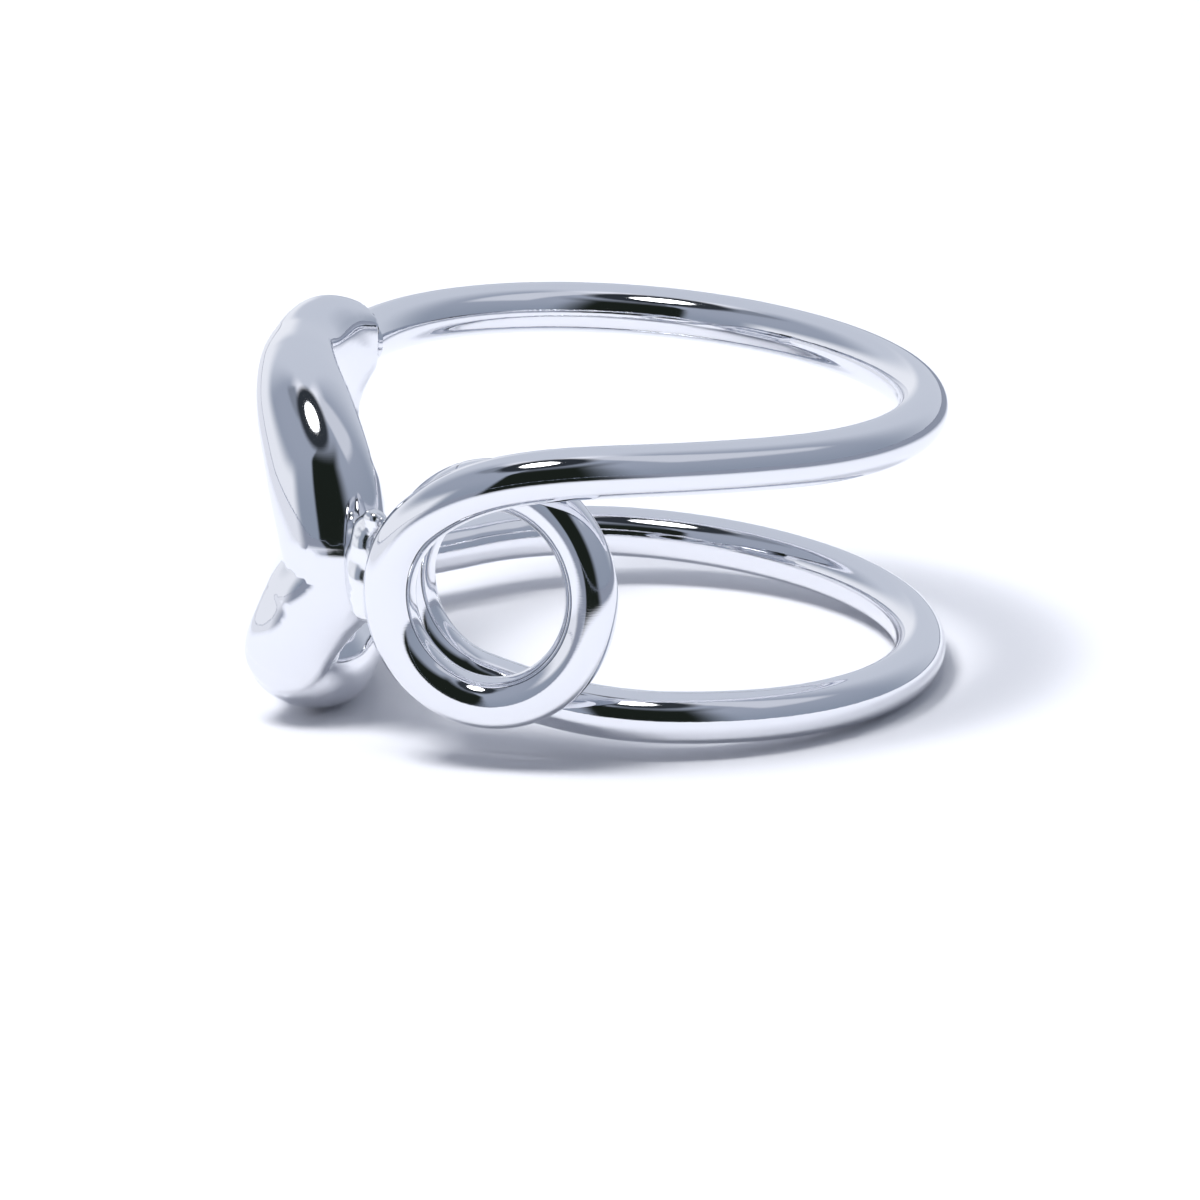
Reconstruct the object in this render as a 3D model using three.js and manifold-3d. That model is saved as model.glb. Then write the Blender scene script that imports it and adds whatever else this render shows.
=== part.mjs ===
// A finger ring in the form of a closed safety pin wrapped once round the finger.
// One round wire makes both bands and the coil between them; a cast clasp head takes both its ends.
// Millimetres, +Z up along the finger, origin under the ring on the surface that it stands on.
import * as THREE from "three";
import { mergeVertices } from "three/addons/utils/BufferGeometryUtils.js";
import Module from "manifold-3d";

// Driving dimensions
const WIRE_RADIUS = 0.8;
const BAND_RADIUS = 9.0; // centreline of both bands, so the finger bore is 16.4 across
const HALF_GAP = 3.875; // from the middle of the ring to the centreline of a band
const SPLAY = 0.0158; // the bands spread apart towards the coil
const LEAN = Math.tan(rad(4.4)); // the ring leans, because the head is taller than the bands
const MIDDLE = [1.056, 0.9, 5.382]; // middle of the finger bore, from under the centre of the whole ring

const COIL_ANGLE = rad(-24.9); // places round the ring: 0 is the front, 90 the right, 180 the back
const COIL_FACING = rad(-16.2);
const COIL_HALF_WIDTH = 3.04; // to the wire's centreline
const COIL_HALF_HEIGHT = 3.3;
const COIL_PITCH = 1.95;
const COIL_LIFT = 2.85; // how far the first turn stands out from the bands
const COIL_START = rad(38.5); // turn angles, from the top, to the left, seen from outside
const COIL_SPLIT = rad(380);
const COIL_END = rad(523);

const UPPER_BAND = [rad(253.2), rad(33.5)];
const PIN_BAND = [rad(19), rad(252)];
const PIN_DROOP = 0.28; // the pin's band sinks towards the head, from the back of the ring on
const PIN_FLARE = 0.75; // and it swings out, clear of the finger, inside the head
const UPPER_LEAD = [7.0, 3.4]; // handles of the curves that join the bands to the coil
const PIN_LEAD = [2.9, 3.3];
const TIP_LENGTH = 1.5;
const TIP_RADIUS = 0.3;

const SWING = rad(22); // how far the pin arm opens
const SWING_STEPS = 8;
const PIN_CLEARANCE = 0.28;
const BORE_RADIUS = 8.2;
const JOINT_GAP = 0.12; // between the ends of two lengths of wire
const SOLDER_GAP = 0.06;
const SIDES = 12;
const HEAD_CELL = 0.40;
const SOLDER_CELL = 0.22;

const SILVER = { color: 0xd9dce2, metalness: 1.0, roughness: 0.12 };

function rad(degrees) {
  return (degrees * Math.PI) / 180;
}

// A point of the ring from its angle, its distance from the axis and its height above mid-height.
// Heights are measured from the leaning middle plane.
function ringPoint(angle, radius, height) {
  const x = radius * Math.sin(angle);
  return new THREE.Vector3(x, -radius * Math.cos(angle), height - x * LEAN);
}

// ---- The wire ----

class BandCurve extends THREE.Curve {
  constructor(side, from, to) {
    super();
    Object.assign(this, { side, from, to });
  }
  getPoint(t) {
    const angle = THREE.MathUtils.lerp(this.from, this.to, t);
    return bandPoint(this.side, angle);
  }
}

// side is 1 for the upper band and -1 for the pin's band.
function bandPoint(side, angle) {
  const pastBack = side < 0 ? Math.max(0, (angle - Math.PI) / rad(45)) : 0;
  const radius = BAND_RADIUS + PIN_FLARE * THREE.MathUtils.smoothstep(pastBack, 0.8, 1.4);
  const y = -radius * Math.cos(angle);
  return ringPoint(angle, radius, side * (HALF_GAP - SPLAY * y) - PIN_DROOP * pastBack ** 2);
}

const coilCentre = new THREE.Vector3(
  BAND_RADIUS * Math.sin(COIL_ANGLE),
  -BAND_RADIUS * Math.cos(COIL_ANGLE),
  0,
);
const coilAxis = new THREE.Vector3(Math.sin(COIL_FACING), -Math.cos(COIL_FACING), 0);
const coilRight = new THREE.Vector3(Math.cos(COIL_FACING), Math.sin(COIL_FACING), 0);

class CoilCurve extends THREE.Curve {
  constructor(from, to) {
    super();
    Object.assign(this, { from, to });
  }
  getPoint(t) {
    const turn = THREE.MathUtils.lerp(this.from, this.to, t);
    return coilCentre
      .clone()
      .addScaledVector(coilRight, -COIL_HALF_WIDTH * Math.sin(turn))
      .addScaledVector(coilAxis, COIL_LIFT - (COIL_PITCH * turn) / (2 * Math.PI))
      .add(new THREE.Vector3(0, 0, COIL_HALF_HEIGHT * Math.cos(turn)));
  }
}

// A smooth curve from the end of one curve to the start of the next, tangent to both.
function leadCurve(before, after, handles) {
  const start = before.getPoint(1);
  const end = after.getPoint(0);
  return new THREE.CubicBezierCurve3(
    start,
    start.clone().addScaledVector(before.getTangent(1), handles[0]),
    end.clone().addScaledVector(after.getTangent(0), -handles[1]),
    end,
  );
}

function joined(...curves) {
  const path = new THREE.CurvePath();
  path.curves.push(...curves);
  return path;
}

function circleShape(radius, sides) {
  const corners = Array.from({ length: sides }, (_, i) => {
    const a = (2 * Math.PI * i) / sides;
    return new THREE.Vector2(radius * Math.cos(a), radius * Math.sin(a));
  });
  return new THREE.Shape(corners);
}

function tube(path, radius, stepLength = 0.62) {
  const steps = Math.ceil(path.getLength() / stepLength);
  return new THREE.ExtrudeGeometry(circleShape(radius, SIDES), { steps, extrudePath: path });
}

// The ground point on the end of the pin: a short cone with a round nose, along the wire.
function pinTip(path) {
  const nose = new THREE.Path();
  nose.moveTo(0, -WIRE_RADIUS / 2).lineTo(WIRE_RADIUS * 0.98, -WIRE_RADIUS / 2);
  nose.lineTo(WIRE_RADIUS * 0.98, 0).lineTo(TIP_RADIUS, TIP_LENGTH - TIP_RADIUS);
  nose.absarc(0, TIP_LENGTH - TIP_RADIUS, TIP_RADIUS, 0, Math.PI / 2, false);
  const geometry = new THREE.LatheGeometry(nose.getPoints(4), SIDES);
  const turn = new THREE.Quaternion().setFromUnitVectors(
    new THREE.Vector3(0, 1, 0),
    path.getTangent(1),
  );
  const end = path.getPoint(1);
  return geometry.applyQuaternion(turn).translate(end.x, end.y, end.z);
}

// ---- Solids by signed distance: negative inside, positive outside ----

function smoothMin(a, b, blend) {
  const h = Math.max(blend - Math.abs(a - b), 0) / blend;
  return Math.min(a, b) - (h * h * blend) / 4;
}

function smoothMax(a, b, blend) {
  return -smoothMin(-a, -b, blend);
}

// A chain of spheres, closely spaced along a spline through knots of [angle, radius, height, size].
function chainOfSpheres(knots, count) {
  const spline = (index) =>
    new THREE.CatmullRomCurve3(
      knots.map(([angle, radius, height, size]) =>
        index
          ? new THREE.Vector3(size, 0, 0)
          : new THREE.Vector3(radius * Math.sin(rad(angle)), -radius * Math.cos(rad(angle)), height),
      ),
      false,
      "catmullrom",
      0.5,
    );
  const [centres, sizes] = [spline(0), spline(1)];
  return Array.from({ length: count + 1 }, (_, i) => ({
    centre: centres.getPoint(i / count),
    size: sizes.getPoint(i / count).x,
  }));
}

// Distance to the chain, taking the straight cone between each sphere and the next.
function chainDistance(chain, p) {
  let best = Infinity;
  for (let i = 0; i + 1 < chain.length; i++) {
    const { centre: a, size: ra } = chain[i];
    const { centre: b, size: rb } = chain[i + 1];
    const dx = b.x - a.x;
    const dy = b.y - a.y;
    const dz = b.z - a.z;
    const along = (p.x - a.x) * dx + (p.y - a.y) * dy + (p.z - a.z) * dz;
    const t = THREE.MathUtils.clamp(along / (dx * dx + dy * dy + dz * dz), 0, 1);
    const away = Math.hypot(p.x - a.x - t * dx, p.y - a.y - t * dy, p.z - a.z - t * dz);
    best = Math.min(best, away - (ra + t * (rb - ra)));
  }
  return best;
}

// ---- The clasp head ----

// The rim of the head: from the end of the upper band, over the crown beside the coil, to the hood
// that covers the point of the pin.
const RIM = [
  [-108.1, 8.97, 4.01, 1.02],
  [-99.1, 9.68, 4.34, 1.2],
  [-89.4, 10.14, 3.95, 1.29],
  [-78.8, 10.44, 3.77, 1.38],
  [-69, 10.71, 3.11, 1.57],
  [-61.1, 10.86, 1.61, 1.73],
  [-57.2, 10.92, -0.08, 1.69],
  [-57, 10.84, -1.14, 1.63],
  [-59.4, 11.47, -2.29, 1.51],
  [-62, 11.99, -3.91, 1.38],
  [-66.7, 10.63, -4.4, 1.67],
  [-84.9, 9.67, -4.04, 1.96],
  [-109.2, 10.49, -3.87, 1.55],
];
const RIM_STEPS = 60;
const RIM_FLATNESS = 1.4; // the rim is wider from side to side than from front to back
const WEB_CENTRE = rad(-90);
const WEB_HALF_WIDTH = 4.6;
const WEB_HALF_HEIGHT = 4.3;
const WEB_OUTER = 11;
const NOTCH_ANGLE = rad(-124);
const NOTCH_RADIUS = 4.49;
const HEAD_BEHIND = rad(-106); // where both ends of the head stop
const RECESS = 0.28; // depth of the hollow that the finger side of the head has at mid-height
const UPPER_RECESS = 1.15; // and how much deeper it gets above that, by the crown
const UPPER_RECESS_ANGLE = rad(-84);
const FLAT_RADIUS = 10; // arcs on the head are measured at this distance from the axis
const SLIT = [
  [-70, 12.35, -1.7, 0.3],
  [-71, 12.7, -3.7, 0.3],
];
const RIM_BLEND = 0.6;
const EDGE_BLEND = 0.5;

const slit = chainOfSpheres(SLIT, 1); // in the outer face, beside the crown
const rim = chainOfSpheres(RIM, RIM_STEPS).map(({ centre, size }) => ({ centre: stretched(centre), size }));

// Distances to the rim are taken with its depth stretched, so that its spheres come out flattened.
function stretched(p) {
  return new THREE.Vector3(p.x, p.y * RIM_FLATNESS, p.z);
}

// Distances over the surface of the head, unrolled flat.
function flatDistance(angle, height, [toAngle, toHeight]) {
  return Math.hypot(FLAT_RADIUS * (angle - toAngle), height - toHeight);
}

function webDistance(angle, radius, height) {
  const across = (FLAT_RADIUS * (angle - WEB_CENTRE)) / WEB_HALF_WIDTH;
  const up = height / WEB_HALF_HEIGHT;
  const oval = (Math.hypot(across, up) - 1) * WEB_HALF_WIDTH;
  const notch = NOTCH_RADIUS - flatDistance(angle, height, [NOTCH_ANGLE, 0]);
  return smoothMax(smoothMax(oval, notch, EDGE_BLEND), radius - WEB_OUTER, EDGE_BLEND);
}

// The pin's end as a chain of spheres, with clearance all round it.
const pinEndBand = new BandCurve(-1, rad(228), PIN_BAND[1]);
const pastPin = pinEndBand.getTangent(1).multiplyScalar(TIP_LENGTH * 0.7);
const pinEnd = [...pinEndBand.getPoints(8), pinEndBand.getPoint(1).add(pastPin)].map((centre, i) => ({
  centre,
  size: i > 8 ? WIRE_RADIUS : WIRE_RADIUS + PIN_CLEARANCE,
}));

// The pin arm swings about the upright line at the coil's left edge, where its wire leaves the coil.
const hinge = coilCentre.clone().addScaledVector(coilRight, -COIL_HALF_WIDTH);

// Distance to all that the pin's end passes through as the arm opens.
function channelDistance(p) {
  let best = Infinity;
  for (let i = 0; i <= SWING_STEPS; i++) {
    const back = p.clone().sub(hinge).applyAxisAngle(p.clone().set(0, 0, 1), (-SWING * i) / SWING_STEPS);
    best = Math.min(best, chainDistance(pinEnd, back.add(hinge)));
  }
  return best;
}

// How much further than the bore the finger side of the head lies from the axis.
function hollowDepth(angle, height) {
  const middle = RECESS * (1 - THREE.MathUtils.smoothstep(Math.abs(height), 1.5, 4));
  const along = (angle - HEAD_BEHIND) / (UPPER_RECESS_ANGLE - HEAD_BEHIND);
  const upper = UPPER_RECESS * THREE.MathUtils.clamp(along, 0, 1);
  return middle + upper * THREE.MathUtils.smoothstep(height, 0.5, 2.5);
}

function headDistance(p) {
  const angle = Math.atan2(p.x, -p.y);
  const radius = Math.hypot(p.x, p.y);
  const level = new THREE.Vector3(p.x, p.y, p.z + p.x * LEAN);
  const web = webDistance(angle, radius, level.z);
  const body = smoothMin(chainDistance(rim, stretched(level)), web, RIM_BLEND);
  const hollow = hollowDepth(angle, level.z);
  const bored = smoothMax(body, BORE_RADIUS + hollow - radius, 0.2);
  const behind = angle > 0 ? -FLAT_RADIUS : FLAT_RADIUS * (HEAD_BEHIND - angle);
  const ended = smoothMax(bored, behind, 0.2);
  const slot = Math.min(chainDistance(slit, level), channelDistance(p));
  return smoothMax(ended, -slot, 0.2);
}

// ---- From distances and surfaces to solids ----

// Surface nets: one vertex in each cell that the surface crosses, one square for each crossed edge.
function surfaceNet(distance, box, cell) {
  const count = box.getSize(new THREE.Vector3()).divideScalar(cell).ceil().addScalar(1);
  const [nx, ny, nz] = count.toArray();
  const at = (i, j, k) => i + nx * (j + ny * k);
  const place = (i, j, k) => new THREE.Vector3(i, j, k).multiplyScalar(cell).add(box.min);
  const value = new Float64Array(nx * ny * nz);
  for (let k = 0; k < nz; k++)
    for (let j = 0; j < ny; j++)
      for (let i = 0; i < nx; i++) value[at(i, j, k)] = distance(place(i, j, k));

  const vertexOf = new Int32Array(nx * ny * nz).fill(-1);
  const positions = [];
  for (let k = 0; k + 1 < nz; k++)
    for (let j = 0; j + 1 < ny; j++)
      for (let i = 0; i + 1 < nx; i++) {
        const crossings = cellCrossings(value, at, i, j, k);
        if (!crossings.count) continue;
        vertexOf[at(i, j, k)] = positions.length / 3;
        const mean = crossings.sum.divideScalar(crossings.count).multiplyScalar(cell).add(box.min);
        positions.push(...mean.toArray());
      }
  return netGeometry(positions, netFaces(value, vertexOf, at, [nx, ny, nz]));
}

const CELL_EDGES = [
  [0, 1], [2, 3], [4, 5], [6, 7], [0, 2], [1, 3], [4, 6], [5, 7], [0, 4], [1, 5], [2, 6], [3, 7],
];

function cellCrossings(value, at, i, j, k) {
  const corner = (n) => [i + (n & 1), j + ((n >> 1) & 1), k + (n >> 2)];
  const sum = new THREE.Vector3();
  let count = 0;
  for (const [from, to] of CELL_EDGES) {
    const a = value[at(...corner(from))];
    const b = value[at(...corner(to))];
    if (a < 0 === b < 0) continue;
    const start = new THREE.Vector3(...corner(from));
    sum.add(start.lerp(new THREE.Vector3(...corner(to)), a / (a - b)));
    count += 1;
  }
  return { sum, count };
}

function netFaces(value, vertexOf, at, size) {
  const faces = [];
  const step = [[1, 0, 0], [0, 1, 0], [0, 0, 1]];
  for (let axis = 0; axis < 3; axis++) {
    const [u, v] = [step[(axis + 1) % 3], step[(axis + 2) % 3]];
    for (let k = 1; k + 1 < size[2]; k++)
      for (let j = 1; j + 1 < size[1]; j++)
        for (let i = 1; i + 1 < size[0]; i++) {
          const [du, dv, da] = [u, v, step[axis]];
          const here = value[at(i, j, k)] < 0;
          if (here === value[at(i + da[0], j + da[1], k + da[2])] < 0) continue;
          const quad = [
            vertexOf[at(i, j, k)],
            vertexOf[at(i - du[0], j - du[1], k - du[2])],
            vertexOf[at(i - du[0] - dv[0], j - du[1] - dv[1], k - du[2] - dv[2])],
            vertexOf[at(i - dv[0], j - dv[1], k - dv[2])],
          ];
          if (!here) quad.reverse();
          faces.push(quad[0], quad[1], quad[2], quad[0], quad[2], quad[3]);
        }
  }
  return faces;
}

function netGeometry(positions, faces) {
  const geometry = new THREE.BufferGeometry();
  geometry.setAttribute("position", new THREE.Float32BufferAttribute(positions, 3));
  geometry.setIndex(faces);
  return geometry;
}

const wasm = await Module();
wasm.setup();

function solidOf(geometry) {
  const bare = geometry.clone();
  bare.deleteAttribute("normal");
  bare.deleteAttribute("uv");
  const merged = mergeVertices(bare, 1e-4);
  return new wasm.Manifold(
    new wasm.Mesh({
      numProp: 3,
      vertProperties: merged.attributes.position.array,
      triVerts: new Uint32Array(merged.index.array),
    }),
  );
}

function geometryOf(solid) {
  const { vertProperties, triVerts } = solid.getMesh();
  const geometry = new THREE.BufferGeometry();
  geometry.setAttribute("position", new THREE.BufferAttribute(vertProperties, 3));
  geometry.setIndex(new THREE.BufferAttribute(triVerts, 1));
  geometry.computeVertexNormals();
  return geometry;
}

// ---- The pieces ----

const upperBand = new BandCurve(1, ...UPPER_BAND);
const frontTurn = new CoilCurve(COIL_START, COIL_SPLIT);
const returnTurn = new CoilCurve(COIL_SPLIT, COIL_END);
const pinBand = new BandCurve(-1, ...PIN_BAND);
const upperPath = joined(upperBand, leadCurve(upperBand, frontTurn, UPPER_LEAD));
const pinPath = joined(leadCurve(returnTurn, pinBand, PIN_LEAD), pinBand);

// The same wire, shortened by the joint gap at one of its ends or both.
function shortened(path, startGap, endGap) {
  const length = path.getLength();
  const part = new THREE.Curve();
  part.getPoint = (t) => {
    const along = THREE.MathUtils.lerp(startGap, length - endGap, t);
    return path.getPointAt(along / length);
  };
  return part;
}

function pinSolid(radius) {
  return solidOf(tube(shortened(pinPath, JOINT_GAP, 0), radius)).add(solidOf(pinTip(pinPath)));
}

function upperArm() {
  return tube(shortened(upperPath, 0, JOINT_GAP), WIRE_RADIUS);
}

function claspHead() {
  const box = new THREE.Box3(new THREE.Vector3(-13.2, -9.4, -7), new THREE.Vector3(-6.2, 6.4, 8));
  return largestPiece(surfaceNet(headDistance, box, HEAD_CELL));
}

// The solder that holds the crown of the head to the coil.
function headSolder() {
  const blob = chainOfSpheres(
    [
      [-46.2, 10.9, 1.1, 0.5],
      [-47.6, 10.95, 0.5, 0.62],
      [-48, 11, -0.6, 0.66],
      [-48.2, 11, -1.7, 0.5],
    ],
    9,
  );
  const wire = [...frontTurn.getPoints(60), ...returnTurn.getPoints(30).slice(1)].map((centre) => ({
    centre,
    size: WIRE_RADIUS,
  }));
  const distance = (p) => {
    const level = new THREE.Vector3(p.x, p.y, p.z + p.x * LEAN);
    const nearest = Math.min(headDistance(p), chainDistance(wire, p));
    return smoothMax(chainDistance(blob, level), SOLDER_GAP - nearest, 0.2);
  };
  const box = new THREE.Box3(new THREE.Vector3(-11.6, -10.6, -3.6), new THREE.Vector3(-6.2, -4.4, 2.6));
  return largestPiece(surfaceNet(distance, box, SOLDER_CELL));
}

function largestPiece(geometry) {
  const pieces = solidOf(geometry).decompose();
  return pieces.sort((a, b) => b.volume() - a.volume())[0];
}

function addPiece(group, name, geometry, tint = 0) {
  const material = new THREE.MeshStandardMaterial(SILVER);
  material.color.offsetHSL(0, 0, tint);
  const mesh = new THREE.Mesh(geometry, material);
  mesh.name = name;
  group.add(mesh);
}

const ring = new THREE.Group();
ring.position.set(...MIDDLE);

addPiece(ring, "clasp_head", geometryOf(claspHead()));
addPiece(ring, "upper_arm", upperArm());
addPiece(ring, "coil_front_turn", tube(frontTurn, WIRE_RADIUS, 0.45));
addPiece(ring, "coil_return_turn", tube(shortened(returnTurn, JOINT_GAP, 0), WIRE_RADIUS, 0.45));
addPiece(ring, "pin_arm", geometryOf(pinSolid(WIRE_RADIUS)));
addPiece(ring, "head_coil_solder", geometryOf(headSolder()), -0.03);

export default ring;
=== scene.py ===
"""Polished silver finger ring in the form of a closed safety pin, on a pale floor in a studio.

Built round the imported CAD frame, in metres and in the same frame. The wire, the head and the solder are
made again here with much finer surfaces, because everything on a mirror finish shows in its reflections.
"""

import math

import bpy
import numpy as np
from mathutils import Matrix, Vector

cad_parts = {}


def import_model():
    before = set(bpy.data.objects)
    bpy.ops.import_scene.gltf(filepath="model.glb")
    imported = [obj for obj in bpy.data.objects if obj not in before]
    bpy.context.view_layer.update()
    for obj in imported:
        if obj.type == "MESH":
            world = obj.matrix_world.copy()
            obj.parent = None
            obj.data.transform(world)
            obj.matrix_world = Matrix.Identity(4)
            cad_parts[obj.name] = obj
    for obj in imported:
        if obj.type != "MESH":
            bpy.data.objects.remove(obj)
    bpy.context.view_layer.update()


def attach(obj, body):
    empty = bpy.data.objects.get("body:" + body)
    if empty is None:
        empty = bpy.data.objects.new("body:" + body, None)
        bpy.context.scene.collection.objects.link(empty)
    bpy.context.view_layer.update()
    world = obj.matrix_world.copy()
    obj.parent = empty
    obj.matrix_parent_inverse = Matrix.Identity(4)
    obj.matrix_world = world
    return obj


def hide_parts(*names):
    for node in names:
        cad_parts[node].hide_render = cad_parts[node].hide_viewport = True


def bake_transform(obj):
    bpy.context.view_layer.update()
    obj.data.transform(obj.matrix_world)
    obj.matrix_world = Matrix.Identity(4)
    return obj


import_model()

# ---- Dimensions, in mm in the ring's own frame: origin in the middle of the finger bore ----

MIDDLE = np.array([1.056, 0.9, 5.382])  # the middle of the bore in the part's frame
WIRE_RADIUS = 0.8
BAND_RADIUS = 9.0  # centreline of both bands
HALF_GAP = 3.875  # from the middle of the ring to the centreline of a band
SPLAY = 0.0158  # the bands spread apart towards the coil
LEAN = math.tan(math.radians(4.4))  # the ring leans, because the head is taller than the bands
COIL_ANGLE = math.radians(-24.9)  # places round the ring: 0 is the front, 90 the right, 180 the back
COIL_FACING = math.radians(-16.2)
COIL_HALF_WIDTH = 3.04  # to the wire's centreline
COIL_HALF_HEIGHT = 3.3
COIL_PITCH = 1.95
COIL_LIFT = 2.85  # how far the first turn stands out from the bands
COIL_START, COIL_SPLIT, COIL_END = (math.radians(a) for a in (38.5, 380, 523))
COIL_OVERLAP = math.radians(8)  # how far the moving wire starts inside the end of the fixed one
UPPER_BAND = [math.radians(a) for a in (253.6, 33.5)]
PIN_BAND = [math.radians(a) for a in (19, 252)]
PIN_DROOP = 0.28  # the pin's band sinks towards the head, from the back of the ring on
PIN_FLARE = 0.75  # and it swings out, clear of the finger, inside the head
UPPER_LEAD = (7.0, 3.4)  # handles of the curves that join the bands to the coil
PIN_LEAD = (2.9, 3.3)
TIP_LENGTH = 1.5
TIP_RADIUS = 0.3
SWING = math.radians(22)  # how far the pin arm opens
PIN_CLEARANCE = 0.28
BORE_RADIUS = 8.2

# The rim of the head as a line of spheres: angle round the ring, distance from its axis, height and size.
RIM = np.array(
    [
        [-108.1, 8.97, 4.01, 1.02],
        [-99.1, 9.68, 4.34, 1.2],
        [-89.4, 10.14, 3.95, 1.29],
        [-78.8, 10.44, 3.77, 1.38],
        [-69, 10.71, 3.11, 1.57],
        [-61.1, 10.86, 1.61, 1.73],
        [-57.2, 10.92, -0.08, 1.69],
        [-57, 10.84, -1.14, 1.63],
        [-59.4, 11.47, -2.29, 1.51],
        [-62, 11.99, -3.91, 1.38],
        [-66.7, 10.63, -4.4, 1.67],
        [-84.9, 9.67, -4.04, 1.96],
        [-109.2, 10.49, -3.87, 1.55],
    ]
)
RIM_FLATNESS = 1.4  # the rim is wider from side to side than from front to back
WEB_CENTRE = math.radians(-90)
WEB_HALF_WIDTH, WEB_HALF_HEIGHT, WEB_OUTER = 4.6, 4.3, 11.0
NOTCH_ANGLE, NOTCH_RADIUS = math.radians(-124), 4.49
HEAD_BEHIND = math.radians(-106)
RECESS = 0.28  # depth of the hollow that the finger side of the head has at mid-height
UPPER_RECESS, UPPER_RECESS_ANGLE = 1.15, math.radians(-84)  # and how much deeper it gets above that
FLAT_RADIUS = 10  # arcs on the head are measured at this distance from the axis
SLIT = np.array([[-70, 12.35, -1.7, 0.3], [-71, 12.7, -3.7, 0.3]])
RIM_BLEND, EDGE_BLEND, CUT_BLEND = 0.6, 0.5, 0.2
SOLDER = np.array(
    [[-46.2, 10.9, 1.1, 0.4], [-47.6, 10.95, 0.5, 0.52], [-48, 11, -0.6, 0.6], [-48.2, 11, -1.7, 0.45]]
)
HEAD_BOX = ((-13.2, -9.4, -7.2), (-6.2, 6.4, 8))  # low and high corners, with room round the head
SOLDER_BOX = ((-11.6, -10.6, -3.6), (-6.2, -4.4, 2.6))
HEAD_CELL, QUICK_HEAD_CELL, SOLDER_CELL = 0.15, 0.3, 0.12


def smoothstep(x, low, high):
    t = np.clip((x - low) / (high - low), 0, 1)
    return t * t * (3 - 2 * t)


# ---- The wire's centreline ----


def band_point(side, angle):
    past_back = max(0.0, (angle - math.pi) / math.radians(45)) if side < 0 else 0.0
    radius = BAND_RADIUS + PIN_FLARE * float(smoothstep(past_back, 0.8, 1.4))
    x, y = radius * math.sin(angle), -radius * math.cos(angle)
    height = side * (HALF_GAP - SPLAY * y) - PIN_DROOP * past_back**2
    return np.array([x, y, height - x * LEAN])


coil_centre = BAND_RADIUS * np.array([math.sin(COIL_ANGLE), -math.cos(COIL_ANGLE), 0])
coil_axis = np.array([math.sin(COIL_FACING), -math.cos(COIL_FACING), 0])
coil_right = np.array([math.cos(COIL_FACING), math.sin(COIL_FACING), 0])
hinge = coil_centre - COIL_HALF_WIDTH * coil_right


def coil_point(turn):
    out = COIL_LIFT - COIL_PITCH * turn / (2 * math.pi)
    point = coil_centre - COIL_HALF_WIDTH * math.sin(turn) * coil_right + out * coil_axis
    return point + np.array([0, 0, COIL_HALF_HEIGHT * math.cos(turn)])


def sampled(curve, start, end, count):
    return np.array([curve(a) for a in np.linspace(start, end, count)])


def band(side, start, end, count):
    return sampled(lambda a: band_point(side, a), start, end, count)


def lead(before, after, handles, count):
    """A smooth curve from the end of one run of points to the start of the next, tangent to both."""
    p0, p3 = before[-1], after[0]
    leaving = before[-1] - before[-2]
    arriving = after[1] - after[0]
    p1 = p0 + handles[0] * leaving / np.linalg.norm(leaving)
    p2 = p3 - handles[1] * arriving / np.linalg.norm(arriving)
    t = np.linspace(0, 1, count)[1:-1, None]
    return p0 * (1 - t) ** 3 + 3 * p1 * t * (1 - t) ** 2 + 3 * p2 * t * t * (1 - t) + p3 * t**3


def evenly(points, step=0.12):
    """The same line with evenly spaced points."""
    lengths = np.r_[0, np.cumsum(np.linalg.norm(np.diff(points, axis=0), axis=1))]
    at = np.linspace(0, lengths[-1], int(lengths[-1] / step) + 1)
    return np.column_stack([np.interp(at, lengths, points[:, k]) for k in range(3)])


upper_band = band(1, *UPPER_BAND, 700)
front_turn = sampled(coil_point, COIL_START, COIL_SPLIT, 500)
return_turn = sampled(coil_point, COIL_SPLIT - COIL_OVERLAP, COIL_END, 300)
pin_band = band(-1, *PIN_BAND, 800)
upper_line = np.vstack([upper_band, lead(upper_band, front_turn, UPPER_LEAD, 300), front_turn])
pin_line = np.vstack([return_turn, lead(return_turn, pin_band, PIN_LEAD, 200), pin_band])

# ---- Meshes ----


def world(points):
    return (np.asarray(points) + MIDDLE) / 1000


def new_object(name, points, faces, normals=None):
    mesh = bpy.data.meshes.new(name)
    corners = [tuple(int(i) for i in face) for face in faces]
    mesh.from_pydata([tuple(p) for p in world(points)], [], corners)
    mesh.update()
    mesh.shade_smooth()
    if normals is not None:
        mesh.normals_split_custom_set_from_vertices([tuple(n) for n in normals])
    made = bpy.data.objects.new(name, mesh)
    bpy.context.scene.collection.objects.link(made)
    return made


def frames_along(line):
    """Two directions across the line at each point, carried along it without twisting."""
    tangents = np.gradient(line, axis=0)
    tangents /= np.linalg.norm(tangents, axis=1)[:, None]
    across = np.cross(tangents[0], [0, 0, 1])
    sides = []
    for tangent in tangents:
        across = across - tangent * (across @ tangent)
        across = across / np.linalg.norm(across)
        sides.append(across)
    sides = np.array(sides)
    return sides, np.cross(tangents, sides)


def tube_faces(count, sides):
    """Quads between the rings of a tube, and a fan over each end. The last two points are their centres."""
    faces = []
    for i in range(count - 1):
        for j in range(sides):
            k = (j + 1) % sides
            faces.append((i * sides + j, i * sides + k, (i + 1) * sides + k, (i + 1) * sides + j))
    start, end = count * sides, count * sides + 1
    for j in range(sides):
        k = (j + 1) % sides
        faces.append((start, k, j))
        faces.append((end, (count - 1) * sides + j, (count - 1) * sides + k))
    return faces


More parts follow.
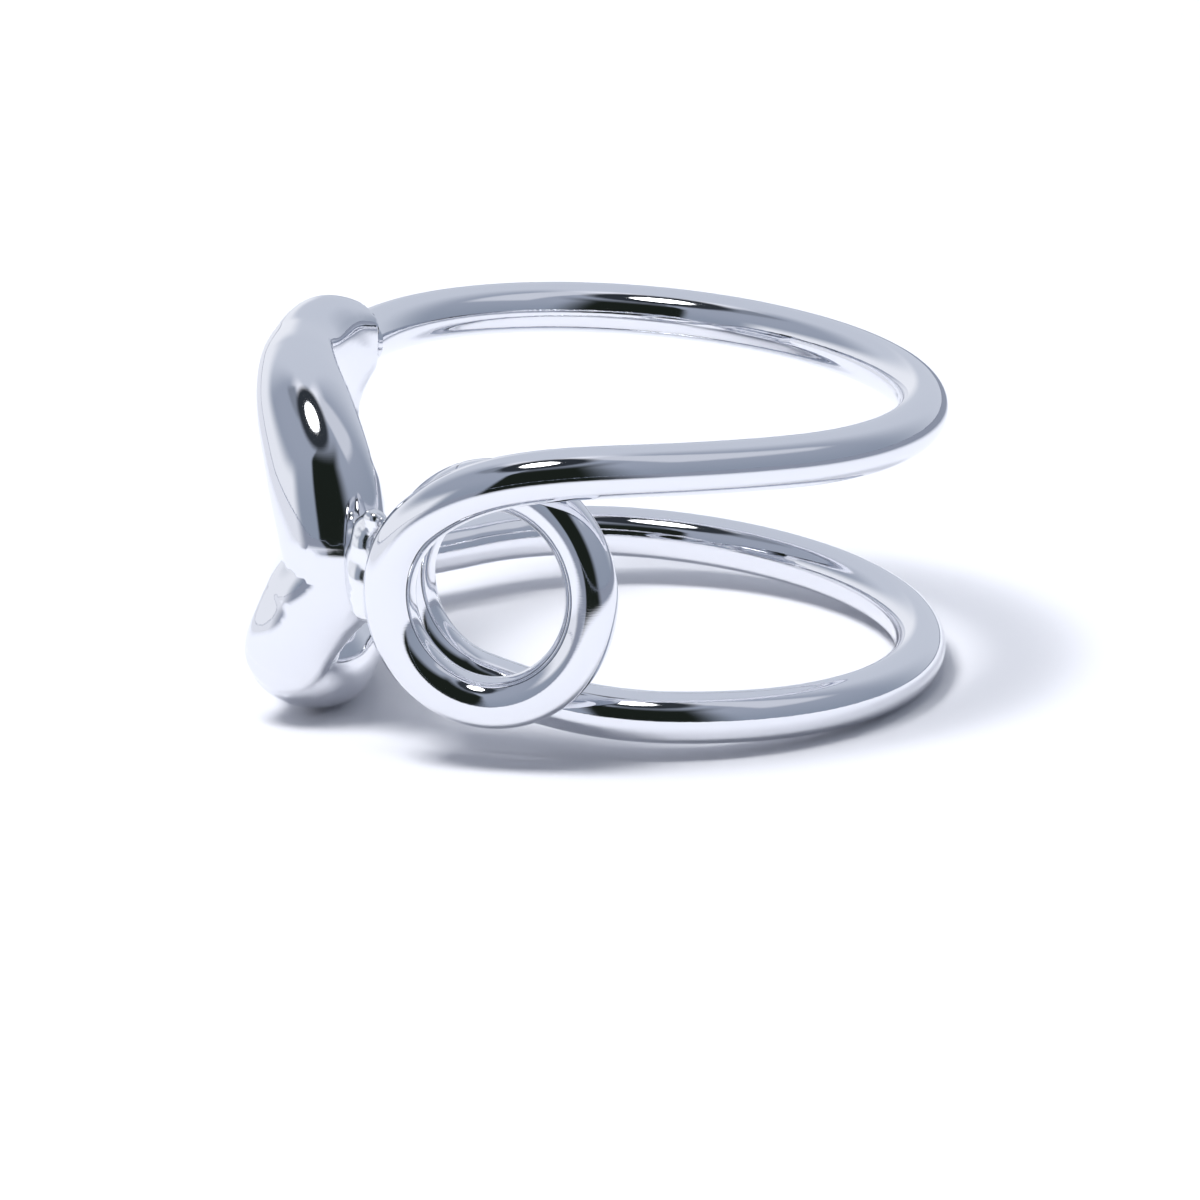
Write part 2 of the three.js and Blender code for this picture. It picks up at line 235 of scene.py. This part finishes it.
def tube(name, line, radii, sides=40):
    """A round tube along the line, closed at both ends."""
    first, second = frames_along(line)
    around = np.linspace(0, 2 * math.pi, sides, endpoint=False)[None, :, None]
    ring = np.cos(around) * first[:, None] + np.sin(around) * second[:, None]
    points = line[:, None] + radii[:, None, None] * ring
    points = np.vstack([points.reshape(-1, 3), line[:1], line[-1:]])
    return new_object(name, points, tube_faces(len(line), sides))


# ---- Signed distances: negative inside ----


def smooth_min(a, b, blend):
    h = np.maximum(blend - np.abs(a - b), 0) / blend
    return np.minimum(a, b) - h * h * blend / 4


def smooth_max(a, b, blend):
    return -smooth_min(-a, -b, blend)


def spline(knots, at):
    """Catmull-Rom through the knots, at parameters from 0 to 1."""
    last = len(knots) - 1
    padded = np.vstack([2 * knots[0] - knots[1], knots, 2 * knots[-1] - knots[-2]])
    place = np.clip(np.asarray(at) * last, 0, last - 1e-9)
    k = place.astype(int)
    t = (place - k)[:, None]
    before, here, there, after = (padded[k + i] for i in range(4))
    slope0, slope1 = (there - before) / 2, (after - here) / 2
    return (
        here
        + slope0 * t
        + (3 * (there - here) - 2 * slope0 - slope1) * t**2
        + (2 * (here - there) + slope0 + slope1) * t**3
    )


def polar_knots(knots):
    """Knots [angle in degrees, radius, height, size] as [x, y, z, size]."""
    angle = np.radians(knots[:, 0])
    return np.column_stack([knots[:, 1] * np.sin(angle), -knots[:, 1] * np.cos(angle), knots[:, 2:]])


def cone_distance(a, b, points):
    """Distance to a cone from sphere a to sphere b, each [x, y, z, size], and how far along it that is."""
    step = b[:3] - a[:3]
    t = np.clip(((points - a[:3]) @ step) / (step @ step), 0, 1)
    away = np.linalg.norm(points - a[:3] - t[:, None] * step, axis=1)
    return away - (a[3] + t * (b[3] - a[3])), t


def chain_distance(chain, points):
    """Distance to a chain of spheres, with a straight cone between each and the next."""
    best = np.full(len(points), 1e9)
    for a, b in zip(chain[:-1], chain[1:]):
        best = np.minimum(best, cone_distance(a, b, points)[0])
    return best


def nearer_along(knots, points, where, reach=1e-3):
    """Places along the spline, moved most of the way to the point of it that is nearest."""
    high, low = np.minimum(where + reach, 1), np.maximum(where - reach, 0)
    slope = (spline(knots, high) - spline(knots, low))[:, :3]
    gain = np.einsum("ij,ij->i", points - spline(knots, where)[:, :3], slope)
    span = np.einsum("ij,ij->i", slope, slope) / (high - low)
    return np.clip(where + 0.8 * gain / np.maximum(span, 1e-9), 0, 1)


def smooth_chain_distance(knots, points, steps):
    """Distance to a spline of spheres. The place along it is found closely, so that it shows no rings."""
    chain = spline(knots, np.linspace(0, 1, steps + 1))
    best, where = np.full(len(points), 1e9), np.zeros(len(points))
    for i in range(steps):
        away, t = cone_distance(chain[i], chain[i + 1], points)
        nearer = away < best
        best[nearer] = away[nearer]
        where[nearer] = (i + t[nearer]) / steps
    for _ in range(2):
        where = nearer_along(knots, points, where)
    here = spline(knots, where)
    return np.linalg.norm(points - here[:, :3], axis=1) - here[:, 3]


# ---- The head ----


def pin_space():
    """The end of the pin with room round it, as a chain of spheres that runs on to the tip."""
    line = band(-1, math.radians(228), PIN_BAND[1], 9)
    chain = np.column_stack([line, np.full(len(line), WIRE_RADIUS + PIN_CLEARANCE)])
    onward = pin_band[-1] - pin_band[-2]
    tip = line[-1] + TIP_LENGTH * 0.7 * onward / np.linalg.norm(onward)
    return np.vstack([chain, [*tip, WIRE_RADIUS]])


rim = polar_knots(RIM) * [1, RIM_FLATNESS, 1, 1]
slit = polar_knots(SLIT)
pin_end = pin_space()


def turned(points, angle):
    c, s = math.cos(angle), math.sin(angle)
    spin = np.array([[c, -s, 0], [s, c, 0], [0, 0, 1]])
    return (points - hinge) @ spin.T + hinge


def channel_distance(points, steps=24):
    """Distance to all the space that the end of the pin passes through as it swings."""
    best = np.full(len(points), 1e9)
    for i in range(steps + 1):
        best = np.minimum(best, chain_distance(pin_end, turned(points, -SWING * i / steps)))
    return best


def web_distance(angle, radius, height):
    """The plate inside the rim: an oval with a round notch out of its back edge."""
    across = FLAT_RADIUS * (angle - WEB_CENTRE) / WEB_HALF_WIDTH
    oval = (np.hypot(across, height / WEB_HALF_HEIGHT) - 1) * WEB_HALF_WIDTH
    notch = NOTCH_RADIUS - np.hypot(FLAT_RADIUS * (angle - NOTCH_ANGLE), height)
    return smooth_max(smooth_max(oval, notch, EDGE_BLEND), radius - WEB_OUTER, EDGE_BLEND)


def hollow_depth(angle, height):
    """How much further than the bore the finger side of the head lies from the axis."""
    middle = RECESS * (1 - smoothstep(np.abs(height), 1.5, 4))
    along = np.clip((angle - HEAD_BEHIND) / (UPPER_RECESS_ANGLE - HEAD_BEHIND), 0, 1)
    return middle + UPPER_RECESS * along * smoothstep(height, 0.5, 2.5)


def head_distance(points):
    x, y, z = points.T
    angle, radius = np.arctan2(x, -y), np.hypot(x, y)
    height = z + x * LEAN
    level = np.column_stack([x, y, height])
    around = smooth_chain_distance(rim, level * [1, RIM_FLATNESS, 1], 44)
    body = smooth_min(around, web_distance(angle, radius, height), RIM_BLEND)
    bored = smooth_max(body, BORE_RADIUS + hollow_depth(angle, height) - radius, CUT_BLEND)
    behind = np.where(angle > 0, -FLAT_RADIUS, FLAT_RADIUS * (HEAD_BEHIND - angle))
    ended = smooth_max(bored, behind, CUT_BLEND)
    slot = np.minimum(chain_distance(slit, level), channel_distance(points))
    return smooth_max(ended, -slot, CUT_BLEND)


# ---- The solder, between the head and the coil ----

coil_wire = np.vstack([front_turn[::10], return_turn[::10]])
coil_wire = np.column_stack([coil_wire, np.full(len(coil_wire), WIRE_RADIUS)])
solder_run = spline(polar_knots(SOLDER), np.linspace(0, 1, 13))


def solder_distance(points):
    level = points + np.column_stack([np.zeros((len(points), 2)), points[:, 0] * LEAN])
    nearest = np.minimum(head_distance(points), chain_distance(coil_wire, points))
    x, y, z = points.T
    lumps = 0.05 * np.sin(5.1 * z + 2.3 * x) * np.sin(4.3 * y + 1.1)
    return smooth_max(chain_distance(solder_run, level) - lumps, -nearest - 0.02, 0.1)


# ---- Surfaces from distances, by surface nets ----

CORNERS = [(i, j, k) for i in (0, 1) for j in (0, 1) for k in (0, 1)]
LARGE_GRID = 60000  # points from which only those near the surface are worked out
ROUGH_STEP = 4  # cells between the points of the rough grid that finds those


def gradient(distance, points, reach=0.02):
    """The distance in mm along the surface's normal, and that normal."""
    slopes = []
    for axis in range(3):
        offset = np.zeros(3)
        offset[axis] = reach
        slopes.append((distance(points + offset) - distance(points - offset)) / (2 * reach))
    slopes = np.column_stack(slopes)
    length = np.maximum(np.linalg.norm(slopes, axis=1), 1e-6)
    return distance(points) / length, slopes / length[:, None]


def grid_places(size):
    return np.stack(np.meshgrid(*(np.arange(n) for n in size), indexing="ij"), -1).reshape(-1, 3)


def grid_values(distance, low, size, cell):
    """The distance at each point of the grid. Far from the surface it may be a neighbour's."""
    places = grid_places(size)
    if len(places) < LARGE_GRID:
        return distance(low + places * cell).reshape(size)
    rough_size = (size - 1) // ROUGH_STEP + 2
    rough = distance(low + grid_places(rough_size) * cell * ROUGH_STEP).reshape(rough_size)
    nearest = np.minimum((places + ROUGH_STEP // 2) // ROUGH_STEP, rough_size - 1)
    values = rough[tuple(nearest.T)]
    near = np.abs(values) < ROUGH_STEP * cell * 1.3
    chosen = low + places[near] * cell
    parts = np.array_split(chosen, max(1, len(chosen) // LARGE_GRID))
    values[near] = np.concatenate([distance(part) for part in parts])
    return values.reshape(size)


def net_points(values):
    """A point in each cell that the surface crosses, in cells from the low corner, and its number."""
    nx, ny, nz = np.array(values.shape) - 1
    total = np.zeros((nx, ny, nz, 3))
    count = np.zeros((nx, ny, nz))
    for axis in range(3):
        for start in CORNERS:
            if start[axis]:
                continue
            end = tuple(start[m] + (m == axis) for m in range(3))
            a, b = (values[i : i + nx, j : j + ny, k : k + nz] for i, j, k in (start, end))
            crossed = (a < 0) != (b < 0)
            t = np.where(crossed, a / np.where(crossed, a - b, 1), 0)
            for m in range(3):
                total[..., m] += np.where(crossed, start[m] + (t if m == axis else 0), 0)
            count += crossed
    used = count > 0
    number = np.full(used.shape, -1)
    number[used] = np.arange(used.sum())
    return np.argwhere(used) + total[used] / count[used][:, None], number


def net_quads(inside, number):
    """A quad across each edge of the grid that the surface crosses, facing out."""
    quads = []
    for axis in range(3):
        crossed = (inside != np.roll(inside, -1, axis))[1:-1, 1:-1, 1:-1]
        at = np.argwhere(crossed) + 1
        u, v = np.eye(3, dtype=int)[[(axis + 1) % 3, (axis + 2) % 3]]
        quad = np.column_stack([number[tuple((at - back).T)] for back in (0 * u, u, u + v, v)])
        flip = ~inside[tuple(at.T)]
        quad[flip] = quad[flip][:, ::-1]
        quads.append(quad)
    return np.vstack(quads)


def surface(distance, low, high, cell):
    """Surface nets, then each vertex is moved onto the surface. Returns points, quads and normals."""
    low, high = np.array(low, float), np.array(high, float)
    size = np.ceil((high - low) / cell).astype(int) + 1
    values = grid_values(distance, low, size, cell)
    places, number = net_points(values)
    points = low + places * cell
    for _ in range(2):
        away, normals = gradient(distance, points)
        points = points - np.clip(away, -0.5 * cell, 0.5 * cell)[:, None] * normals * 0.9
    return points, net_quads(values < 0, number), gradient(distance, points)[1]


# ---- The pieces ----


def ground_point(end, direction):
    """The line and the radii of the pin's point: a cone past its end, with a round nose."""
    steps = np.arange(0.06, TIP_LENGTH, 0.06)
    radii = WIRE_RADIUS + (TIP_RADIUS - WIRE_RADIUS) * steps / (TIP_LENGTH - TIP_RADIUS)
    nose = steps > TIP_LENGTH - TIP_RADIUS
    past_centre = steps[nose] - TIP_LENGTH + TIP_RADIUS
    radii[nose] = np.sqrt(np.maximum(TIP_RADIUS**2 - past_centre**2, 1e-4))
    return end + steps[:, None] * direction, radii


upper_line = evenly(upper_line)
upper_wire = tube("ring_wire", upper_line, np.full(len(upper_line), WIRE_RADIUS))
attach(upper_wire, "ring")
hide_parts("upper_arm", "coil_front_turn")

pin_line = evenly(pin_line)
onward = pin_line[-1] - pin_line[-2]
tip_line, tip_radii = ground_point(pin_line[-1], onward / np.linalg.norm(onward))
pin_radii = np.r_[np.full(len(pin_line), WIRE_RADIUS), tip_radii]
pin_radii[:4] = WIRE_RADIUS - 0.004  # its start lies inside the end of the ring wire
pin_wire = tube("pin_wire", np.vstack([pin_line, tip_line]), pin_radii)
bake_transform(pin_wire)
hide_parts("coil_return_turn", "pin_arm")

head_cell = HEAD_CELL
head = new_object("clasp_head_cast", *surface(head_distance, *HEAD_BOX, head_cell))
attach(head, "ring")
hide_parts("clasp_head")

solder = new_object("solder_joint", *surface(solder_distance, *SOLDER_BOX, SOLDER_CELL))
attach(solder, "ring")
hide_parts("head_coil_solder")


# ---- Node trees ----

DEGREES = 180 / math.pi


class Nodes:
    """Short ways to put together a node tree."""

    def __init__(self, tree):
        self.tree = tree

    def add(self, kind, **values):
        """A new node with its sockets filled: each is named, with _ for a space."""
        made = self.tree.nodes.new(kind)
        for name, value in values.items():
            self.fill(made.inputs[name.replace("_", " ")], value)
        return made

    def fill(self, socket, value):
        """Links a socket to another node's output, or sets it to a number or a colour."""
        if isinstance(value, bpy.types.NodeSocket):
            self.tree.links.new(value, socket)
        else:
            socket.default_value = value

    def math(self, operation, *values):
        made = self.tree.nodes.new("ShaderNodeMath")
        made.operation = operation
        for socket, value in zip(made.inputs, values):
            self.fill(socket, value)
        return made.outputs[0]

    def step(self, value, low, high):
        """0 below low and 1 above high, smoothly."""
        made = self.add("ShaderNodeMapRange", Value=value, From_Min=low, From_Max=high)
        made.interpolation_type = "SMOOTHSTEP"
        return made.outputs["Result"]

    def window(self, value, low, high, soft_low, soft_high):
        """1 between low and high, with soft edges centred on them."""
        up = self.step(value, low - soft_low / 2, low + soft_low / 2)
        down = self.step(value, high - soft_high / 2, high + soft_high / 2)
        return self.math("MULTIPLY", up, self.math("SUBTRACT", 1.0, down))

    def patch(self, azimuth, elevation, azimuths, elevations):
        """1 within a window both ways."""
        return self.math("MULTIPLY", self.window(azimuth, *azimuths), self.window(elevation, *elevations))

    def below(self, value, low, high):
        """1 below low and 0 above high, smoothly."""
        return self.math("SUBTRACT", 1.0, self.step(value, low, high))

    def mix(self, amount, under, over):
        made = self.tree.nodes.new("ShaderNodeMix")
        made.data_type = "RGBA"
        self.fill(made.inputs["Factor"], amount)
        for socket, value in ((made.inputs[6], under), (made.inputs[7], over)):
            self.fill(socket, (*value, 1) if isinstance(value, tuple) else value)
        return made.outputs[2]

    def split(self, vector):
        return self.add("ShaderNodeSeparateXYZ", Vector=vector).outputs

    def azimuth(self, x, y):
        """Degrees round from the camera's side, with the right at 90."""
        angle = self.math("ARCTAN2", x, self.math("MULTIPLY", y, -1.0))
        return self.math("MULTIPLY", angle, DEGREES)

    def place(self, output="Object"):
        return self.add("ShaderNodeTexCoord").outputs[output]

    def noise(self, vector, scale, detail):
        return self.add("ShaderNodeTexNoise", Vector=vector, Scale=scale, Detail=detail).outputs["Fac"]

    def bump(self, height, strength, distance, **normal):
        made = self.add("ShaderNodeBump", Height=height, Strength=strength, Distance=distance, **normal)
        return made.outputs["Normal"]


def new_material(name):
    material = bpy.data.materials.new(name)
    material.use_nodes = True
    material.node_tree.nodes.clear()
    return material, Nodes(material.node_tree)


# ---- Silver ----


def haze(nodes, roughness, wear):
    """The roughness of the polish, and up to wear more in soft patches."""
    patches = nodes.noise(nodes.place(), 260, 5)
    worn = nodes.add("ShaderNodeMapRange", Value=patches, From_Min=0.42, From_Max=0.75)
    worn.inputs["To Min"].default_value = roughness
    worn.inputs["To Max"].default_value = roughness + wear
    return worn.outputs["Result"]


def unevenness(nodes, scratches, lumps):
    """The normal: very fine rubbing marks that run one way, over slow waves."""
    streaks = nodes.add("ShaderNodeMapping", Vector=nodes.place(), Scale=(3000, 3000, 26000))
    streaks.inputs["Rotation"].default_value = (0.3, 0.2, 0.6)
    rubbed = nodes.bump(nodes.noise(streaks.outputs["Vector"], 1, 3), scratches, 0.000004)
    return nodes.bump(nodes.noise(nodes.place(), 700, 1.5), lumps, 0.00002, Normal=rubbed)


def silver(name, colour, roughness, wear, scratches, lumps):
    """Polished silver: faint haze in patches, very fine rubbing marks and a little unevenness."""
    material, nodes = new_material(name)
    shader = nodes.add("ShaderNodeBsdfPrincipled", Base_Color=(*colour, 1), Metallic=1.0)
    nodes.fill(shader.inputs["Roughness"], haze(nodes, roughness, wear))
    nodes.fill(shader.inputs["Normal"], unevenness(nodes, scratches, lumps))
    nodes.add("ShaderNodeOutputMaterial", Surface=shader.outputs["BSDF"])
    return material


wire_silver = silver("wire_silver", (0.82, 0.83, 0.865), 0.03, 0.06, 0.14, 0.05)
cast_silver = silver("cast_silver", (0.82, 0.83, 0.865), 0.035, 0.05, 0.08, 0.05)
solder_silver = silver("solder_silver", (0.86, 0.87, 0.89), 0.10, 0.12, 0.25, 0.9)
upper_wire.data.materials.append(wire_silver)
pin_wire.data.materials.append(wire_silver)
head.data.materials.append(cast_silver)
solder.data.materials.append(solder_silver)

# ---- Floor ----

# Windows are a low and a high edge in degrees, and how soft each of them is.
GAP_WINDOW = (-20, 32, 5, 22)
GAP_COLOUR = (0.012, 0.016, 0.013)
LEFT_WINDOW = (-175, -52, 10, 16)


def plane(name, half, height):
    corners = [(-half, -half, 0), (half, -half, 0), (half, half, 0), (-half, half, 0)]
    mesh = bpy.data.meshes.new(name)
    mesh.from_pydata(corners, [], [(0, 1, 2, 3)])
    made = bpy.data.objects.new(name, mesh)
    made.location.z = height
    bpy.context.scene.collection.objects.link(made)
    return made


def floor_with_painted_shade():
    """White paper near the ring, and greyer further out: painted shade for the dimmer floor far from the
    light.
    """
    material, nodes = new_material("floor")
    x, y, _ = nodes.split(nodes.place())
    far_x = nodes.step(nodes.math("ABSOLUTE", x), 0.06, 0.14)
    far_y = nodes.step(nodes.math("ABSOLUTE", y), 0.10, 0.20)
    # Further out the floor is painted darker: painted shade, for the floor less lit far from the light.
    colour = nodes.mix(nodes.math("MAXIMUM", far_x, far_y), (0.735, 0.74, 0.775), (0.30, 0.33, 0.40))
    paper = nodes.add("ShaderNodeBsdfPrincipled", Base_Color=colour, Roughness=0.9)
    paper.inputs["Specular IOR Level"].default_value = 0.1
    nodes.add("ShaderNodeOutputMaterial", Surface=paper.outputs["BSDF"])
    return material


def surround_cloth():
    """Clear near the ring, then glowing: grey, white on the left and dark across the gap in the room."""
    material, nodes = new_material("surround")
    x, y, _ = nodes.split(nodes.place())
    squares = nodes.math("ADD", nodes.math("MULTIPLY", x, x), nodes.math("MULTIPLY", y, y))
    azimuth = nodes.azimuth(x, y)
    colour = nodes.mix(nodes.window(azimuth, *LEFT_WINDOW), (0.30, 0.33, 0.41), (0.86, 0.88, 0.95))
    colour = nodes.mix(nodes.window(azimuth, *GAP_WINDOW), colour, GAP_COLOUR)
    blend = nodes.tree.nodes.new("ShaderNodeMixShader")
    nodes.fill(blend.inputs[0], nodes.step(nodes.math("SQRT", squares), 0.030, 0.052))
    nodes.fill(blend.inputs[1], nodes.add("ShaderNodeBsdfTransparent").outputs[0])
    nodes.fill(blend.inputs[2], nodes.add("ShaderNodeEmission", Color=colour).outputs[0])
    nodes.add("ShaderNodeOutputMaterial", Surface=blend.outputs[0])
    return material


floor = plane("floor", 3, -0.00002)
floor.data.materials.append(floor_with_painted_shade())

# The surround lies on the floor for the reflections only. The camera doesn't see it.
surround = plane("surround", 0.5, 0.00001)
surround.visible_camera = False
surround.visible_diffuse = False
surround.visible_shadow = False
surround.data.materials.append(surround_cloth())

# ---- Room and lamps ----

LAMP_AZIMUTH, LAMP_ELEVATION = -7, 72


def direction(azimuth, elevation):
    """The way out from the ring, in degrees. Azimuth 0 is the camera's side and 90 the right."""
    a, e = math.radians(azimuth), math.radians(elevation)
    return np.array([math.sin(a) * math.cos(e), -math.cos(a) * math.cos(e), math.sin(e)])


def wall_light(nodes, azimuth, elevation):
    """Blue-grey walls, paler overhead and behind, white low on the left, with a dark gap by the camera."""
    light = nodes.mix(nodes.step(elevation, 0, 45), (0.30, 0.345, 0.43), (0.36, 0.40, 0.49))
    light = nodes.mix(nodes.step(elevation, 62, 80), light, (0.95, 0.97, 1.05))
    behind = nodes.step(nodes.math("ABSOLUTE", azimuth), 100, 150)
    light = nodes.mix(behind, light, (0.62, 0.66, 0.75))
    left = nodes.math("MULTIPLY", nodes.window(azimuth, *LEFT_WINDOW), nodes.below(elevation, 12, 30))
    light = nodes.mix(left, light, (0.92, 0.94, 1.0))
    lean = nodes.math("MULTIPLY", nodes.step(elevation, 38, 62), 22.0)
    leaning = nodes.window(nodes.math("SUBTRACT", azimuth, lean), *GAP_WINDOW)
    gap = nodes.math("MULTIPLY", leaning, nodes.below(elevation, 40, 62))
    return nodes.mix(gap, light, GAP_COLOUR)


def fittings(nodes, light, azimuth, elevation):
    """A pale panel on the right and a darker band high on the left."""
    panel = nodes.patch(azimuth, elevation, (60, 100, 8, 12), (40, 74, 8, 8))
    light = nodes.mix(panel, light, (0.66, 0.69, 0.77))
    band_left = nodes.patch(azimuth, elevation, (-100, -52, 14, 8), (58, 72, 6, 8))
    return nodes.mix(band_left, light, (0.24, 0.27, 0.33))


def lamp_in_shade(nodes, light, x, y, z):
    """A small round lamp high in front, in a wider dark shade."""
    lamp_x, lamp_y, lamp_z = (float(part) for part in direction(LAMP_AZIMUTH, LAMP_ELEVATION))
    cosine = nodes.math("MULTIPLY", x, lamp_x)
    cosine = nodes.math("MULTIPLY_ADD", y, lamp_y, cosine)
    cosine = nodes.math("MULTIPLY_ADD", z, lamp_z, cosine)
    from_lamp = nodes.math("MULTIPLY", nodes.math("ARCCOSINE", cosine), DEGREES)
    light = nodes.mix(nodes.below(from_lamp, 17, 24), light, (0.03, 0.036, 0.045))
    return nodes.mix(nodes.below(from_lamp, 7.5, 9.5), light, (8.0, 8.0, 8.0))


def room():
    """The room round the ring, as light from each direction."""
    made = bpy.data.worlds.new("studio")
    made.use_nodes = True
    made.node_tree.nodes.clear()
    nodes = Nodes(made.node_tree)
    x, y, z = nodes.split(nodes.place("Generated"))
    azimuth = nodes.azimuth(x, y)
    elevation = nodes.math("MULTIPLY", nodes.math("ARCSINE", z), DEGREES)
    light = fittings(nodes, wall_light(nodes, azimuth, elevation), azimuth, elevation)
    light = lamp_in_shade(nodes, light, x, y, z)
    glow = nodes.add("ShaderNodeBackground", Color=light, Strength=1.0)
    nodes.add("ShaderNodeOutputWorld", Surface=glow.outputs["Background"])
    return made


def area_light(name, azimuth, elevation, distance, size, energy):
    """A round white light aimed at the ring, which doesn't show in reflections."""
    way = direction(azimuth, elevation)
    data = bpy.data.lights.new(name, "AREA")
    data.shape = "DISK"
    data.size = size
    data.energy = energy
    made = bpy.data.objects.new(name, data)
    made.location = world((0, 0, 0)) + distance * way
    made.rotation_mode = "QUATERNION"
    made.rotation_quaternion = Vector(-way).to_track_quat("-Z", "Y")
    made.visible_glossy = False
    bpy.context.scene.collection.objects.link(made)


bpy.context.scene.world = room()
area_light("overhead", -60, 66, 0.9, 0.36, 8)
bpy.context.scene.view_settings.view_transform = "Standard"

# ---- Camera ----

TILT = math.radians(16.9)
AWAY = 0.28125
camera_data = bpy.data.cameras.new("camera")
camera = bpy.data.objects.new("camera", camera_data)
bpy.context.scene.collection.objects.link(camera)
camera_data.lens = 270
camera_data.sensor_width = 36
camera_data.shift_x = -0.0279
camera_data.shift_y = -0.0811
camera_data.clip_start = 0.01
camera_data.clip_end = 10
camera.location = world((0, 0, 0)) + AWAY * np.array([0, -math.cos(TILT), math.sin(TILT)])
camera.rotation_euler = (math.pi / 2 - TILT, 0, 0)
bpy.context.scene.camera = camera
